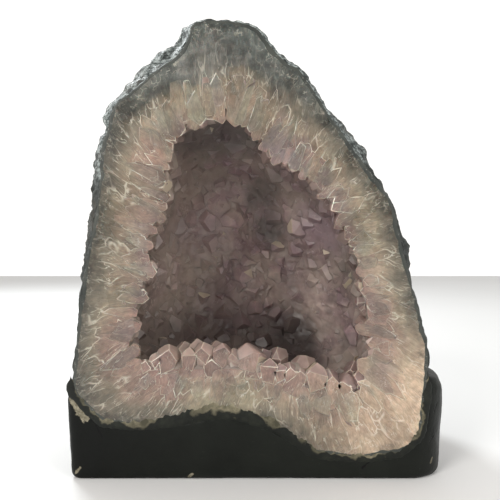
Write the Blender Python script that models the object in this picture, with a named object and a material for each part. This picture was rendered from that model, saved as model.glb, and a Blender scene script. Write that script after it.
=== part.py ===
"""A cathedral amethyst geode, cut flat in front and set in a cast cement foot.

Three solids: the rind of dark rock, the quartz and amethyst crust that lines it, with
its points standing into the cavity, and the painted cement foot that holds both level.
Lengths are in millimetres until the meshes are made. X runs along the cut face, +Y away
from the viewer into the rock, and +Z up. The cut face is the plane Y = 0 until the last
step, which brings the middle of the underside to the origin.
"""

import math
import random

import bmesh
import bpy
import numpy as np
from mathutils import Vector, noise
from mathutils.geometry import delaunay_2d_cdt

METRES = 0.001
GAP = 0.35
FOOT_GAP = 0.5

# Rock
ROCK_DEPTH = 138.0
ROCK_COLUMNS = 76
ROCK_ROWS = 22
INNER_ROWS = 8
ROCK_FRONT_CENTRE = (-3.0, 122.0)
ROCK_BACK_CENTRE = (-4.0, 108.0)
SIDE_FULLNESS = 0.77
BACK_FULLNESS = 0.91
FLARE_DEPTH = 26.0
SOFT_DEPTH = 85.0
RIND_FRONT = 2.6
RIND_BACK = 6.5
LUMP_SIZE = 40.0
LUMP_HEIGHT = 5.0
KNOB_SIZE = 19.0
KNOB_HEIGHT = 5.0
LEDGE_HEIGHT = 2.4
EDGE_ROUGHNESS = 0.2
ROUGH_FROM = 32.0

# Edge of the rock on the cut face, clockwise from the lower left, as (x, z)
ROCK_EDGE = [
    (-99.5, 53), (-97.5, 70), (-95.5, 94), (-92, 116), (-88, 136), (-85.5, 155), (-83.5, 180),
    (-80, 191), (-76.5, 203), (-65, 214), (-51, 225), (-43, 231), (-37.5, 238), (-33, 248.5),
    (-18, 250), (-6, 249.5), (2, 246), (7.5, 239), (16, 229), (25.5, 223), (34, 211),
    (40.5, 200.5), (49, 189.5), (55.5, 180), (64.5, 167), (71, 157.5), (77, 146), (83, 122),
    (88.7, 100), (92.8, 82), (95.4, 66), (94.4, 45), (91, 26), (81, 15), (60, 11.5), (37, 13.5),
    (25, 19), (14.5, 26), (2, 31), (-18, 35), (-40, 31.5), (-62, 28.5), (-82, 31.5), (-95, 42),
]

# Bulges and dents of the rock's outside, as (x, y, z, radius, height)
ROCK_BULGES = [
    (-87, 9, 168, 20, 3.0),
    (-89, 9, 142, 16, 2.5),
    (-90, 9, 106, 15, -3.0),
    (-37, 8, 246, 13, 1.5),
    (21, 9, 229, 11, -4.0),
    (50, 9, 187, 15, -3.5),
    (68, 9, 160, 10, -2.5),
    (85, 6, 126, 10, 4.0),
]

# Cavity
CAVITY_DEPTH = 96.0
CAVITY_ROWS = 48
CAVITY_COLUMNS = 160
CAVITY_CENTRE = (-4.0, 124.0)
CAVITY_BACK_CENTRE = (-2.0, 118.0)
CAVITY_FLARE = 6.0
CAVITY_FLARE_DEPTH = 26.0
CRYSTAL_SPACING = 11.5
CRYSTAL_HEIGHT = (5.5, 10.0)
EDGE_CRYSTALS = 46
EDGE_POINT = (2.5, 6.0)
CRYSTAL_SEED = 7
SCATTER_TRIES = 9000

# Edge of the cavity on the cut face, between the crystal points, clockwise, as (x, z)
CAVITY_EDGE = [
    (-67, 70), (-66.5, 82), (-63, 97), (-59, 113), (-60.5, 125), (-54, 141), (-50.5, 160),
    (-49, 178), (-44.5, 189.5), (-32, 195.5), (-18.5, 202), (-7, 199), (1, 190), (9, 179),
    (22, 171), (34, 162), (46, 145), (55, 124), (60, 104), (63, 84), (66, 68), (61, 52),
    (48, 46), (32, 49), (14, 55.5), (-8, 60), (-34, 60), (-56, 61.5),
]

# Swellings of the cavity wall, as (x, y, z, radius, height)
SWELLINGS = [
    (-22, 88, 148, 24, 20),
    (-6, 90, 104, 27, 24),
    (44, 70, 96, 24, 10),
    (34, 74, 142, 22, 8),
    (-48, 60, 110, 24, 7),
    (-42, 7, 63, 12, 5),
    (-22, 8, 61, 14, 6),
    (-4, 8, 60, 14, 6.5),
    (16, 8, 56, 13, 5),
    (36, 8, 50, 14, 5.5),
    (-12, 50, 188, 20, 6),
]

# Foot
FOOT_LEFT = -103.0
FOOT_RIGHT = 108.5
FOOT_BACK = 129.0
FOOT_FRONT_LEFT_RADIUS = 5.0
FOOT_FRONT_RIGHT_RADIUS = 20.0
FOOT_BACK_RADIUS = 62.0
FOOT_STRAIGHT_STEP = 12.0
FOOT_CORNER_STEPS = 9
FOOT_LEAN = 2.6
FOOT_EDGE_ROUND = 4.0
FOOT_RIGHT_ROUND = 9.0
FOOT_ROUNDING_FROM = 40.0
FOOT_ROUNDING_TO = 100.0
FOOT_BOTTOM_ROUND = 2.0
FOOT_ROUGHNESS = 0.5
# Height of the foot's rim by bearing from the rock's middle, 0 to the right, 90 to the back
FOOT_RIM = [(-60, 59), (0, 55), (45, 48), (90, 44), (135, 46), (180, 48), (240, 48)]


def smooth_step(low, high, value):
    """0 below low, 1 above high and an eased rise between them."""
    share = min(1.0, max(0.0, (value - low) / (high - low)))
    return share * share * (3.0 - 2.0 * share)


def closed_curve(points, count):
    """count points at equal steps along a smooth closed curve through the given points."""
    fine = []
    steps = 24
    total = len(points)
    for i in range(total):
        a, b, c, d = (np.array(points[(i + k - 1) % total], float) for k in range(4))
        for s in range(steps):
            t = s / steps
            fine.append(
                0.5
                * (
                    2 * b
                    + (c - a) * t
                    + (2 * a - 5 * b + 4 * c - d) * t**2
                    + (3 * b - a - 3 * c + d) * t**3
                )
            )
    fine = np.array(fine)
    ring = np.vstack([fine, fine[:1]])
    along = np.concatenate([[0], np.cumsum(np.linalg.norm(np.diff(ring, axis=0), axis=1))])
    wanted = np.linspace(0, along[-1], count, endpoint=False)
    return np.stack([np.interp(wanted, along, ring[:, k]) for k in (0, 1)], axis=1)


def outward(ring):
    """Unit normals of a clockwise ring of (x, z) points, pointing out of it."""
    along = np.roll(ring, -1, axis=0) - np.roll(ring, 1, axis=0)
    normal = np.stack([-along[:, 1], along[:, 0]], axis=1)
    return normal / np.linalg.norm(normal, axis=1)[:, None]


def grid_normals(rows):
    """Unit normals of a closed band of rows x columns points, pointing away from its axis."""
    around = np.roll(rows, -1, axis=1) - np.roll(rows, 1, axis=1)
    back = np.gradient(rows, axis=0)
    normal = np.cross(around, back)
    normal /= np.linalg.norm(normal, axis=2)[..., None]
    middle = rows.mean(axis=1, keepdims=True)
    if ((rows - middle) * normal).sum() < 0:
        normal = -normal
    return normal


def softened(edge):
    """The edge with its bumps smoothed out and its size kept."""
    soft = edge.copy()
    for _ in range(len(edge) ** 2 // 60):
        soft = (np.roll(soft, 1, axis=0) + 2 * soft + np.roll(soft, -1, axis=0)) / 4
    middle = edge.mean(axis=0)
    size = np.linalg.norm(edge - middle, axis=1).mean() / np.linalg.norm(soft - middle, axis=1).mean()
    return middle + (soft - middle) * size


def bowl(edge, front, back, depth, angles, flare, flare_depth):
    """Rows of a rounded hollow or boss whose rim is edge and whose pole lies at depth.

    front and back are the rim's and the pole's middles. Each angle from 0 to 90 degrees is
    one row, and flare widens each column by so much at flare_depth. The bumps of the rim
    fade with depth."""
    rows = []
    soft = softened(edge)
    for angle in angles:
        y = depth * math.sin(angle) ** BACK_FULLNESS
        scale = max(math.cos(angle), 0.0) ** SIDE_FULLNESS
        share = y / depth
        middle = np.array(front) * (1 - share) + np.array(back) * share
        fade = smooth_step(0, SOFT_DEPTH, y)
        ring = middle + (edge * (1 - fade) + soft * fade - front) * scale
        ring = ring + outward(edge) * (flare * smooth_step(0, flare_depth, y) * scale)[:, None]
        rows.append(np.stack([ring[:, 0], np.full(len(ring), y), ring[:, 1]], axis=1))
    return np.array(rows)


def rock_flare(edge):
    """How far the rock swells behind the cut: most at its shoulders, least underneath."""
    normal = outward(edge)
    left_shoulder = np.clip(normal @ np.array([-0.62, 0.78]), 0, 1) ** 3
    right_shoulder = np.clip(normal @ np.array([0.58, 0.81]), 0, 1) ** 6
    low = np.clip((edge[:, 1] - 60) / 50, 0, 1)
    return 1.0 + low * (1.6 + 11.5 * left_shoulder + 8.0 * right_shoulder)


def rock_rows(count):
    """count rows of the rock's smooth form, and their normals."""
    edge = closed_curve(ROCK_EDGE, ROCK_COLUMNS)
    angles = np.linspace(0, math.radians(84), count)
    rows = bowl(
        edge, ROCK_FRONT_CENTRE, ROCK_BACK_CENTRE, ROCK_DEPTH, angles, rock_flare(edge), FLARE_DEPTH
    )
    return rows, grid_normals(rows)


def roughness_at(point):
    """How far the rock's skin stands out at a point: broad lumps, knobs and broken ledges."""
    place = Vector(point)
    lumps = noise.noise(place / LUMP_SIZE + Vector((3.1, 0.4, 7.7)))
    nearest = noise.voronoi(place / KNOB_SIZE)[0]
    knobs = 0.45 - nearest[0]
    ledge = noise.noise(Vector((place.x / 30, place.y / 30, place.z / 9)))
    amount = LUMP_HEIGHT * lumps + KNOB_HEIGHT * knobs + LEDGE_HEIGHT * ledge
    fade = EDGE_ROUGHNESS + (1 - EDGE_ROUGHNESS) * smooth_step(0, ROUGH_FROM, place.y)
    bulge = 0.0
    for x, y, z, radius, height in ROCK_BULGES:
        away = (place - Vector((x, y, z))).length
        bulge += height * math.exp(-((away / radius) ** 2)) * smooth_step(0, y, place.y)
    return max(amount, -3.6) * fade + bulge


def rind_thickness(y):
    return RIND_FRONT + (RIND_BACK - RIND_FRONT) * smooth_step(0, 50, y)


def rough_rock():
    """The rock's outer rows and its pole, lumps and all. The first row stays in the cut plane."""
    rows, normals = rock_rows(ROCK_ROWS)
    for row, normal in zip(rows, normals):
        for point, direction in zip(row, normal):
            in_plane = direction * np.array([1, 0, 1]) if point[1] == 0 else direction
            point += in_plane * roughness_at(point)
    pole = np.array([ROCK_BACK_CENTRE[0], ROCK_DEPTH, ROCK_BACK_CENTRE[1]])
    pole[1] = rows[-1][:, 1].mean() + 1.5
    return rows, pole


def inset_rock(extra):
    """The rock's smooth form, set in by the rind's thickness and a little more, and its pole."""
    rows, normals = rock_rows(INNER_ROWS)
    for row, normal in zip(rows, normals):
        for point, direction in zip(row, normal):
            in_plane = direction * np.array([1, 0, 1]) if point[1] == 0 else direction
            point -= in_plane * (rind_thickness(point[1]) + extra)
    pole = np.array([ROCK_BACK_CENTRE[0], 0, ROCK_BACK_CENTRE[1]])
    pole[1] = rows[-1][:, 1].mean() + 0.5
    return rows, pole


class Shape:
    """Points and faces of one solid while it is put together."""

    def __init__(self):
        self.points = []
        self.faces = []

    def add(self, points):
        """Adds points and returns their numbers."""
        start = len(self.points)
        self.points.extend(tuple(map(float, p)) for p in points)
        return list(range(start, len(self.points)))

    def band(self, one, other):
        """Triangles between two closed rings of as many points."""
        count = len(one)
        for i in range(count):
            k = (i + 1) % count
            self.faces.append((one[i], one[k], other[k]))
            self.faces.append((one[i], other[k], other[i]))

    def fan(self, ring, tip):
        """Triangles from a closed ring to one point."""
        count = len(ring)
        for i in range(count):
            self.faces.append((ring[i], ring[(i + 1) % count], tip))

    def dome(self, rows, pole):
        """Bands through all the rows and a fan at the pole. Returns the first ring."""
        rings = [self.add(row) for row in rows]
        for one, other in zip(rings, rings[1:]):
            self.band(one, other)
        self.fan(rings[-1], self.add([pole])[0])
        return rings[0]

    def build(self, name, material, offset):
        """The finished object, in metres, its faces pointing out."""
        mesh = bpy.data.meshes.new(name)
        mesh.from_pydata([(Vector(p) + offset) * METRES for p in self.points], [], self.faces)
        work = bmesh.new()
        work.from_mesh(mesh)
        bmesh.ops.recalc_face_normals(work, faces=work.faces)
        work.to_mesh(mesh)
        work.free()
        mesh.materials.append(material)
        made = bpy.data.objects.new(name, mesh)
        bpy.context.scene.collection.objects.link(made)
        return made


class Cavity:
    """The cavity's wall, which can be read at any (radius, share) of a round chart.

    radius is 1 at the cavity's edge and 0 at its deepest point, share runs from 0 to 1
    around it, and equal small steps on the chart are about equal on the wall."""

    def __init__(self):
        edge = closed_curve(CAVITY_EDGE, CAVITY_COLUMNS)
        flare = np.full(len(edge), CAVITY_FLARE)
        angles = np.linspace(0, math.radians(89), CAVITY_ROWS)
        rows = bowl(
            edge, CAVITY_CENTRE, CAVITY_BACK_CENTRE, CAVITY_DEPTH, angles, flare, CAVITY_FLARE_DEPTH
        )
        inward = -grid_normals(rows)
        rise = np.zeros(rows.shape[:2])
        for x, y, z, radius, height in SWELLINGS:
            away = np.linalg.norm(rows - np.array([x, y, z]), axis=2)
            rise += height * np.exp(-((away / radius) ** 2))
        rise[0] = 0
        self.rows = rows + inward * rise[..., None]
        self.rows[1:, :, 1] = np.maximum(self.rows[1:, :, 1], 0.8)
        self.inward = -grid_normals(self.rows)
        self.inward[0, :, 1] = 0
        self.inward[0] /= np.linalg.norm(self.inward[0], axis=1)[:, None]
        around = np.linalg.norm(np.roll(rows, 1, axis=1) - rows, axis=2).sum(axis=1)
        step = np.linalg.norm(np.diff(rows, axis=0), axis=2).mean(axis=1)
        mean_radius = (around[1:] + around[:-1]) / (4 * math.pi)
        fall = np.concatenate([[0], np.cumsum(step / mean_radius)])
        self.radii = np.exp(-fall)

    def read(self, radius, share):
        """The wall's point and its direction into the cavity at a place on the chart."""
        row = np.interp(-radius, -self.radii, np.arange(CAVITY_ROWS))
        column = (share % 1.0) * CAVITY_COLUMNS
        j, i = int(min(row, CAVITY_ROWS - 2)), int(column) % CAVITY_COLUMNS
        v, u = row - j, column - int(column)
        k = (i + 1) % CAVITY_COLUMNS
        weights = [(j, i, (1 - v) * (1 - u)), (j, k, (1 - v) * u)]
        weights += [(j + 1, i, v * (1 - u)), (j + 1, k, v * u)]
        point = sum(self.rows[a, b] * w for a, b, w in weights)
        inward = sum(self.inward[a, b] * w for a, b, w in weights)
        return point, inward / np.linalg.norm(inward)


def chart_place(radius, share):
    angle = 2 * math.pi * share
    return radius * math.cos(angle), radius * math.sin(angle)


def scatter(cavity, chance):
    """Places of the crystals on the chart: first those along the edge, then the rest."""
    places = []
    for n in range(EDGE_CRYSTALS):
        places.append((1.0, (n + chance.uniform(-0.2, 0.2)) / EDGE_CRYSTALS))
    points = [cavity.read(*place)[0] for place in places]
    low = math.log(cavity.radii[-1])
    for _ in range(SCATTER_TRIES):
        place = (math.exp(chance.uniform(low, -0.03)), chance.random())
        point = cavity.read(*place)[0]
        apart = np.linalg.norm(np.array(points) - point, axis=1).min()
        if apart > CRYSTAL_SPACING * chance.uniform(0.75, 1.15):
            places.append(place)
            points.append(point)
    return places


def edge_between(first, last):
    """The share of the way round halfway from one edge place to the next."""
    gap = (last - first) % 1.0
    return first + gap / 2


def line_cavity(shape):
    """Adds the cavity's wall of crystal points to the shape and returns its edge on the cut."""
    chance = random.Random(CRYSTAL_SEED)
    cavity = Cavity()
    places = scatter(cavity, chance)
    tips = []
    for n, place in enumerate(places):
        point, inward = cavity.read(*place)
        height = chance.uniform(*(EDGE_POINT if n < EDGE_CRYSTALS else CRYSTAL_HEIGHT))
        lean = Vector((chance.gauss(0, 0.12), 0, chance.gauss(0, 0.12)))
        tip = point + (inward + np.array(lean) * (n >= EDGE_CRYSTALS)) * height
        if n >= EDGE_CRYSTALS:
            tip[1] = max(tip[1], 1.2)
        tips.append(tip)
    numbers = shape.add(tips)

    flat = [Vector(chart_place(*place)) for place in places]
    rim = [(n, (n + 1) % EDGE_CRYSTALS) for n in range(EDGE_CRYSTALS)]
    chart = delaunay_2d_cdt(flat, rim, [], 1, 1e-7)
    triangles = [tuple(face) for face in chart[2]]
    hollows, by_edge = [], {}
    for triangle in triangles:
        x, y = (sum(flat[n][k] for n in triangle) / 3 for k in (0, 1))
        radius, share = math.hypot(x, y), math.atan2(y, x) / (2 * math.pi)
        point, inward = cavity.read(min(radius, 0.985), share)
        point = point - inward * chance.uniform(0.0, 1.5)
        point[1] = max(point[1], 0.8)
        hollows.append(point)
    hollow_numbers = shape.add(hollows)
    for hollow, triangle in zip(hollow_numbers, triangles):
        for a, b in ((0, 1), (1, 2), (2, 0)):
            ends = tuple(sorted((triangle[a], triangle[b])))
            by_edge.setdefault(ends, []).append(hollow)

    on_rim = {}
    for first, last in rim:
        share = edge_between(places[first][1], places[last][1])
        point, _ = cavity.read(1.0, share)
        on_rim[tuple(sorted((first, last)))] = shape.add([point])[0]
    for (a, b), sides in by_edge.items():
        if len(sides) == 2:
            shape.faces.append((numbers[a], sides[0], sides[1]))
            shape.faces.append((numbers[b], sides[1], sides[0]))
        else:
            foot = on_rim[(a, b)]
            shape.faces.append((numbers[a], foot, sides[0]))
            shape.faces.append((foot, numbers[b], sides[0]))
    edge = []
    for first, last in rim:
        edge += [numbers[first], on_rim[tuple(sorted((first, last)))]]
    return edge


def inside(point, ring):
    """Whether a flat point lies inside a ring of flat points."""
    found = False
    for a, b in zip(ring, ring[1:] + ring[:1]):
        if (a.y > point.y) != (b.y > point.y):
            crossing = a.x + (point.y - a.y) / (b.y - a.y) * (b.x - a.x)
            found ^= point.x < crossing
    return found


def cut_face(shape, outer, inner):
    """Adds the flat ring of the cut between the crust's outer edge and the cavity's edge."""
    numbers = outer + inner
    flat = [Vector((shape.points[n][0], shape.points[n][2])) for n in numbers]
    ring = flat[len(outer) :]
    edges = [(i, (i + 1) % len(outer)) for i in range(len(outer))]
    edges += [(len(outer) + i, len(outer) + (i + 1) % len(inner)) for i in range(len(inner))]
    for face in delaunay_2d_cdt(flat, edges, [], 1, 1e-7)[2]:
        middle = sum((flat[n] for n in face), Vector((0, 0))) / 3
        if not inside(middle, ring):
            shape.faces.append(tuple(numbers[n] for n in face))


def make_rind(material, offset):
    """The shell of dark rock around the crystals, open at the cut."""
    shape = Shape()
    rows, pole = rough_rock()
    outer = shape.dome(rows, pole)
    inner = shape.dome(*inset_rock(0.0))
    shape.band(outer, inner)
    return shape.build("rock_rind", material, offset)


def make_crust(material, offset):
    """The crust of quartz and amethyst, cut flat in front, its points lining the cavity."""
    shape = Shape()
    outer = shape.dome(*inset_rock(GAP))
    inner = line_cavity(shape)
    cut_face(shape, outer, inner)
    return shape.build("crystal_crust", material, offset)


def corner(centre, radius, start, steps):
    """Points of a quarter turn, anticlockwise from the start angle in degrees."""
    angles = [math.radians(start + 90 * n / steps) for n in range(steps + 1)]
    return [(centre[0] + radius * math.cos(a), centre[1] + radius * math.sin(a)) for a in angles]


def foot_plan():
    """The foot's outline seen from above, anticlockwise from its front left corner."""
    left, right, back = FOOT_LEFT, FOOT_RIGHT, FOOT_BACK
    near, far, rear = FOOT_FRONT_LEFT_RADIUS, FOOT_FRONT_RIGHT_RADIUS, FOOT_BACK_RADIUS
    turns = [
        corner((left + near, near), near, 180, FOOT_CORNER_STEPS // 2),
        corner((right - far, far), far, 270, FOOT_CORNER_STEPS),
        corner((right - rear, back - rear), rear, 0, FOOT_CORNER_STEPS),
        corner((left + rear, back - rear), rear, 90, FOOT_CORNER_STEPS),
    ]
    plan = []
    for turn, following in zip(turns, turns[1:] + turns[:1]):
        plan += turn
        (ax, ay), (bx, by) = turn[-1], following[0]
        parts = max(1, round(math.hypot(bx - ax, by - ay) / FOOT_STRAIGHT_STEP))
        plan += [(ax + (bx - ax) * n / parts, ay + (by - ay) * n / parts) for n in range(1, parts)]
    return plan


def rim_height(x, y):
    """How high the foot's rim stands on this bearing from the rock's middle."""
    bearing = math.degrees(math.atan2(y - ROCK_DEPTH / 2, x))
    bearing = bearing + 360 if bearing < FOOT_RIM[0][0] else bearing
    first = FOOT_RIM[0]
    bearings, heights = zip(*FOOT_RIM, (first[0] + 360, first[1]))
    return float(np.interp(bearing, bearings, heights)) + 1.5 * noise.noise(Vector((x, y, 5)) / 14)


def foot_levels(x):
    """Share of the rim's height, rise and inset of each ring of the foot's block at x."""
    towards_right = smooth_step(FOOT_ROUNDING_FROM, FOOT_ROUNDING_TO, x)
    edge = FOOT_EDGE_ROUND + (FOOT_RIGHT_ROUND - FOOT_EDGE_ROUND) * towards_right
    return [
        (0.0, 0.0, FOOT_BOTTOM_ROUND),
        (0.0, FOOT_BOTTOM_ROUND, 0.0),
        (0.35, 0.0, 0.0),
        (0.7, 0.0, 0.0),
        (1.0, -edge, 0.0),
        (1.0, -edge * 0.3, edge * 0.3),
        (1.0, 0.0, edge),
        (1.0, 3.0, 12.0),
        (1.0, 8.0, 24.0),
        (1.0, 10.0, 44.0),
    ]


def foot_rings(plan):
    """Rings of the foot's block from its underside up its side and in over its rim."""
    centre = np.array([(FOOT_LEFT + FOOT_RIGHT) / 2, ROCK_DEPTH / 2])
    levels = [foot_levels(x) for x, _ in plan]
    rings = []
    for step in range(len(levels[0])):
        ring = []
        for (x, y), steps in zip(plan, levels):
            share, rise, inset = steps[step]
            height = rim_height(x, y)
            z = share * height + rise
            inwards = centre - np.array([x, y])
            inwards /= np.linalg.norm(inwards)
            swell = FOOT_ROUGHNESS * noise.noise(Vector((x, y, z)) / 20) if 0 < z < height else 0
            px, py = np.array([x, y]) + inwards * (inset - swell)
            px -= math.copysign(FOOT_LEAN, x) * (1 - smooth_step(0, 42, z))
            ring.append((px, max(py, 0.0), z))
        rings.append(ring)
    return rings


def make_cutter(offset):
    """The rock's form with the gap around it, standing out in front: it cuts the foot."""
    rows, pole = rough_rock()
    rows = rows + grid_normals(rows) * FOOT_GAP
    rows[0, :, 1] = 0.0
    front = rows[0] + np.array([0, -10.0, 0])
    pole = pole + np.array([0, FOOT_GAP, 0])
    shape = Shape()
    ring = shape.dome(np.concatenate([front[None], rows]), pole)
    middle = shape.add([(ROCK_FRONT_CENTRE[0], -10.0, ROCK_FRONT_CENTRE[1])])[0]
    shape.fan(ring, middle)
    cutter = shape.build("rock_form", None, offset)
    cutter.hide_render = True
    cutter.display_type = "WIRE"
    return cutter


def make_foot(material, cutter, offset):
    """The cast cement foot, level underneath and hollowed to the rock's form."""
    shape = Shape()
    rings = [shape.add(ring) for ring in foot_rings(foot_plan())]
    for one, other in zip(rings, rings[1:]):
        shape.band(one, other)
    middle = ((FOOT_LEFT + FOOT_RIGHT) / 2, ROCK_DEPTH / 2)
    shape.fan(rings[0], shape.add([(*middle, 0.0)])[0])
    shape.fan(rings[-1], shape.add([(*middle, 60.0)])[0])
    foot = shape.build("cement_foot", material, offset)
    hollow = foot.modifiers.new("rock_hollow", "BOOLEAN")
    hollow.operation = "DIFFERENCE"
    hollow.object = cutter
    return foot


def make_material(name, colour, roughness):
    material = bpy.data.materials.new(name)
    material.use_nodes = True
    shader = material.node_tree.nodes["Principled BSDF"]
    shader.inputs["Base Color"].default_value = (*colour, 1)
    shader.inputs["Roughness"].default_value = roughness
    shader.inputs["Metallic"].default_value = 0.0
    return material


def base_offset():
    """The move that brings the middle of the underside to the origin."""
    rows, pole = rough_rock()
    foot = np.array(foot_rings(foot_plan())).reshape(-1, 3)
    points = np.vstack([rows.reshape(-1, 3), pole[None], foot])
    middle = (points.min(axis=0) + points.max(axis=0)) / 2
    return Vector((-middle[0], -middle[1], 0))


def main():
    for old in list(bpy.data.objects):
        bpy.data.objects.remove(old)
    offset = base_offset()
    rock = make_material("dark_rock", (0.035, 0.042, 0.038), 0.75)
    quartz = make_material("amethyst", (0.42, 0.33, 0.36), 0.25)
    cement = make_material("painted_cement", (0.018, 0.022, 0.019), 0.55)
    make_rind(rock, offset)
    make_crust(quartz, offset)
    make_foot(cement, make_cutter(offset), offset)


main()
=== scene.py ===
"""Looks of a cathedral amethyst geode on its painted cement foot.

Shapes are worked out in millimetres, in the frame in which the cut face is Y = 0 and the
foot's underside is Z = 0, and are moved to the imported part's frame when a mesh is made.
"""

import math
import random

import bmesh
import bpy
import numpy as np
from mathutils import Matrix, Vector, noise


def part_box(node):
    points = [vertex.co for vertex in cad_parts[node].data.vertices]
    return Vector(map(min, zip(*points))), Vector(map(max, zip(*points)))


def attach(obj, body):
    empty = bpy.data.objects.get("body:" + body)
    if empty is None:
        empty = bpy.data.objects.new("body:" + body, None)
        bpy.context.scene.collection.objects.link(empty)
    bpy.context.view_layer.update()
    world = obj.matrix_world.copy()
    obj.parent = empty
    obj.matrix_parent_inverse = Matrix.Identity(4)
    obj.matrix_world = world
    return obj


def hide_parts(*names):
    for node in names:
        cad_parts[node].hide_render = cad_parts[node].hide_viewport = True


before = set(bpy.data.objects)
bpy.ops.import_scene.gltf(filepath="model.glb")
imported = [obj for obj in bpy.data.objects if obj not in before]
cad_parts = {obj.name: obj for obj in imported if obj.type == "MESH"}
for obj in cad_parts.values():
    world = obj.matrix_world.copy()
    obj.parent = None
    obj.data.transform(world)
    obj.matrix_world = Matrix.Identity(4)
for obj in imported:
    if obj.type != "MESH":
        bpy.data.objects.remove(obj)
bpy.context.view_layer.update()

# Metres to a millimetre, and the place of the cut face's frame in the part's frame
MM = 0.001
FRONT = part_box("crystal_crust")[0].y
SIDEWAYS = -0.0028
IN_PLANE = (1.0, 0.0, 1.0)
SHARP_ANGLE = math.radians(65)

# Rock
ROCK_DEPTH = 138.0
ROCK_COLUMNS = 520
ROCK_ROWS = 140
INNER_ROWS = 8
ROCK_FRONT_CENTRE = (-3.0, 122.0)
ROCK_BACK_CENTRE = (-4.0, 108.0)
SIDE_FULLNESS = 0.77
BACK_FULLNESS = 0.91
FLARE_DEPTH = 26.0
SOFT_DEPTH = 85.0
RIND_FRONT = 2.6
RIND_BACK = 6.5
KNOB_SIZE = 19.0
KNOB_HEIGHT = 5.0
LEDGE_HEIGHT = 2.4
DEEPEST_DENT = -3.6
EDGE_ROUGHNESS = 0.2
ROUGH_FROM = 32.0
SAWN_WAVES = 1.8

# Shares of the rind's width at which its sawn face has a ring of points
SAWN_RINGS = (0.35, 0.7)

# How far the rock swells behind the cut: below and what is added above, where the upper part
# starts and how soon it is reached, and its shoulders, as (x, z) towards them, how narrow and
# how far
LEAST_FLARE = (1.0, 1.6)
UPPER_PART = (60.0, 50.0)
SHOULDERS = [((-0.62, 0.78), 3, 11.5), ((0.58, 0.81), 6, 8.0)]

# Layers of noise, as (height, size), or (height, size, x, y, z) with an offset
ROCK_LUMPS = [(5.0, 40.0, 3.1, 0.4, 7.7)]
ROCK_GRAIN = [(1.0, 7.0), (0.8, 3.1, 9, 2, 4)]
RIND_LAYERS = [(1.6, 16, 0, 0, 2), (0.9, 4, 0, 0, 6)]
WALL_BUMPS = [(1.0, 4.0), (0.5, 1.8)]
FOOT_LAYERS = [(0.45, 22), (0.15, 8), (0.12, 2.6)]
SMEAR_INSIDE = [(1.1, 5, 0, 0, 1), (0.8, 1.7, 0, 0, 4)]
SMEAR_OUTSIDE = [(1.0, 11, 0, 0, 8), (0.6, 1.9, 0, 0, 3)]

# Edge of the rock on the cut face, clockwise from the lower left, as (x, z)
ROCK_EDGE = [
    (-99.5, 53), (-97.5, 70), (-95.5, 94), (-92, 116), (-88, 136), (-85.5, 155), (-83.5, 180),
    (-80, 191), (-76.5, 203), (-65, 214), (-51, 225), (-43, 231), (-37.5, 238), (-33, 248.5),
    (-18, 250), (-6, 249.5), (2, 246), (7.5, 239), (16, 229), (25.5, 223), (34, 211),
    (40.5, 200.5), (49, 189.5), (55.5, 180), (64.5, 167), (71, 157.5), (77, 146), (83, 122),
    (88.7, 100), (92.8, 82), (95.4, 66), (94.4, 45), (91, 26), (81, 15), (60, 11.5), (37, 13.5),
    (25, 19), (14.5, 26), (2, 31), (-18, 35), (-40, 31.5), (-62, 28.5), (-82, 31.5), (-95, 42),
]

# Bulges and dents of the rock's outside, as (x, y, z, radius, height)
ROCK_BULGES = [
    (-87, 9, 168, 20, 3.0),
    (-89, 9, 142, 16, 2.5),
    (-90, 9, 106, 15, -3.0),
    (-37, 8, 246, 13, 1.5),
    (21, 9, 229, 11, -4.0),
    (50, 9, 187, 15, -3.5),
    (68, 9, 160, 10, -2.5),
    (85, 6, 126, 10, 4.0),
]

# Cavity
CAVITY_DEPTH = 96.0
CAVITY_ROWS = 90
CRUST_COLUMNS = 480
CUT_ROWS = 40
CAVITY_CENTRE = (-4.0, 124.0)
CAVITY_BACK_CENTRE = (-2.0, 118.0)
CAVITY_FLARE = 6.0
CAVITY_FLARE_DEPTH = 26.0

# Edge of the cavity on the cut face, between the crystal points, clockwise, as (x, z)
CAVITY_EDGE = [
    (-67, 70), (-66.5, 82), (-63, 97), (-59, 113), (-60.5, 125), (-54, 141), (-50.5, 160),
    (-49, 178), (-44.5, 189.5), (-32, 195.5), (-18.5, 202), (-7, 199), (1, 190), (9, 179),
    (22, 171), (34, 162), (46, 145), (55, 124), (60, 104), (63, 84), (66, 68), (61, 52),
    (48, 46), (32, 49), (14, 55.5), (-8, 60), (-34, 60), (-56, 61.5),
]

# Swellings of the cavity wall, as (x, y, z, radius, height)
SWELLINGS = [
    (-22, 88, 148, 24, 20),
    (-6, 90, 104, 27, 24),
    (44, 70, 96, 24, 10),
    (34, 74, 142, 22, 8),
    (-48, 60, 110, 24, 7),
    (-42, 7, 63, 12, 5),
    (-22, 8, 61, 14, 6),
    (-4, 8, 60, 14, 6.5),
    (16, 8, 56, 13, 5),
    (36, 8, 50, 14, 5.5),
    (-12, 50, 188, 20, 6),
]

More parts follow.
